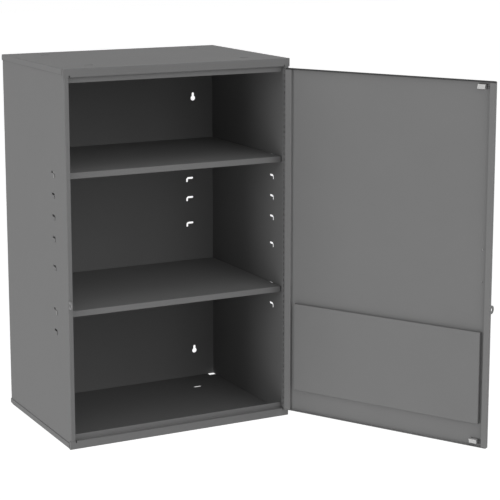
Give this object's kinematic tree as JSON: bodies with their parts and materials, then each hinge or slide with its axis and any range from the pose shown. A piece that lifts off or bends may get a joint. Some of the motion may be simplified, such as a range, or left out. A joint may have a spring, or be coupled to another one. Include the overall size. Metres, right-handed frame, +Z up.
{
  "type": "wall storage cabinet",
  "caption": "Wall-mounted sheet-steel storage cabinet with a flush hinged door, shelves on clips and a document pocket inside the door.",
  "frame": {"origin": "middle of the four keyholes in the back, on the back's outer face, which lies 1.5 mm in front of the wall", "axes": "+X to the right seen from the front, +Y into the wall, +Z up"},
  "size_m": [0.7548, 0.8028, 0.787],
  "materials": {
    "cabinet_paint": "fine satin powder coat, mid grey",
    "door_paint": "fine satin powder coat, mid grey",
    "hinge_pin_steel": "bright steel",
    "clip_zinc": "zinc plated",
    "catch_zinc": "zinc plated",
    "screw_zinc": "zinc plated",
    "handle_chrome": "satin chrome"
  },
  "bodies": {
    "cabinet": {"body_wrap": "cabinet_paint", "top_pan": "cabinet_paint", "bottom_pan": "cabinet_paint", "upper_shelf": "cabinet_paint", "lower_shelf": "cabinet_paint", "upper_side_clips": "clip_zinc", "upper_back_clips": "clip_zinc", "lower_side_clips": "clip_zinc", "lower_back_clips": "clip_zinc", "frame_hinge_leaf": "cabinet_paint", "hinge_pin": "hinge_pin_steel", "frame_padlock_eye": "cabinet_paint"},
    "door": {"door_hinge_leaf": "door_paint", "door_pan": "door_paint", "document_pocket": "door_paint", "door_padlock_eye": "door_paint", "upper_catch_base": "catch_zinc", "lower_catch_base": "catch_zinc", "upper_catch_magnet": "catch_zinc", "lower_catch_magnet": "catch_zinc", "catch_screws": "screw_zinc", "pull_handle": "handle_chrome", "handle_screws": "screw_zinc"}
  },
  "joints": [
    {"name": "door_hinge", "type": "hinge", "parent": "cabinet", "child": "door", "pos_m": [0.24615, -0.36865, 0], "axis": [0, 0, 1], "range_deg": [-119, 56]}
  ]
}
